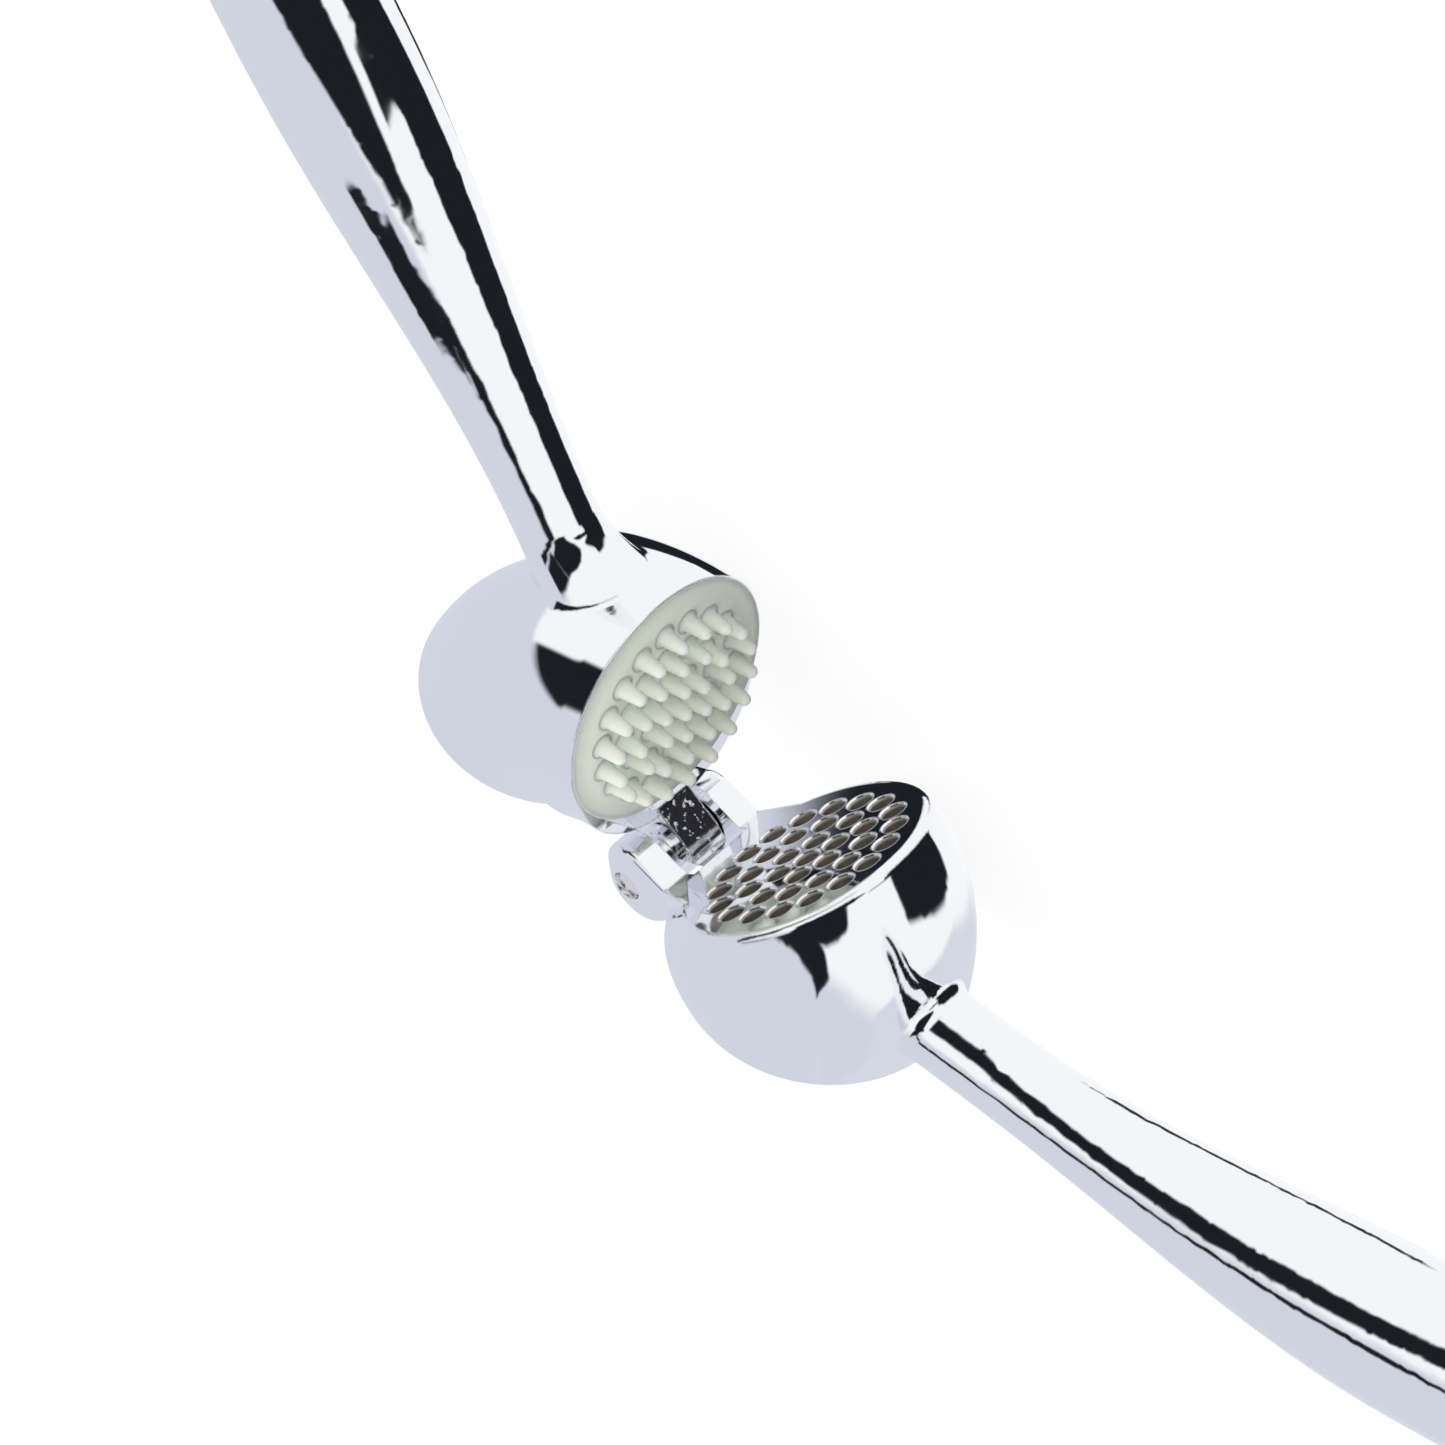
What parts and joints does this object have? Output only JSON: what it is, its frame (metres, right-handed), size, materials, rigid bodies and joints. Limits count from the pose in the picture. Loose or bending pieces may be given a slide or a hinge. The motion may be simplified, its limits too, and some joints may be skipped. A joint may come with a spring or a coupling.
{
  "type": "garlic press",
  "caption": "Hinged garlic press: a pierced chamber and a curved plunger on swelling handles, with a pinned cleaning mat behind the plunger.",
  "frame": {"origin": "centre of the sieve's outer face, which is also the centre of the middle hole", "axes": "+X along the sieve from the hinge towards the chamber's handle, +Y the way the sieve faces, +Z along the hinge pin; the press lies on its side"},
  "size_m": [0.1603, 0.2496, 0.033],
  "materials": {
    "chamber_lever": "polished chrome plate",
    "plunger_lever": "polished chrome plate",
    "hinge_pin": "domed steel pin",
    "cleaning_mat": "soft satin, slightly translucent, pale green"
  },
  "bodies": {
    "chamber": {"chamber_lever": "chamber_lever", "hinge_pin": "hinge_pin"},
    "plunger": {"plunger_lever": "plunger_lever", "cleaning_mat": "cleaning_mat"}
  },
  "joints": [
    {"name": "lever_hinge", "type": "hinge", "parent": "chamber", "child": "plunger", "pos_m": [-0.0229, 0.0004, 0], "axis": [0, 0, 1], "range_deg": [-56, 233]}
  ]
}
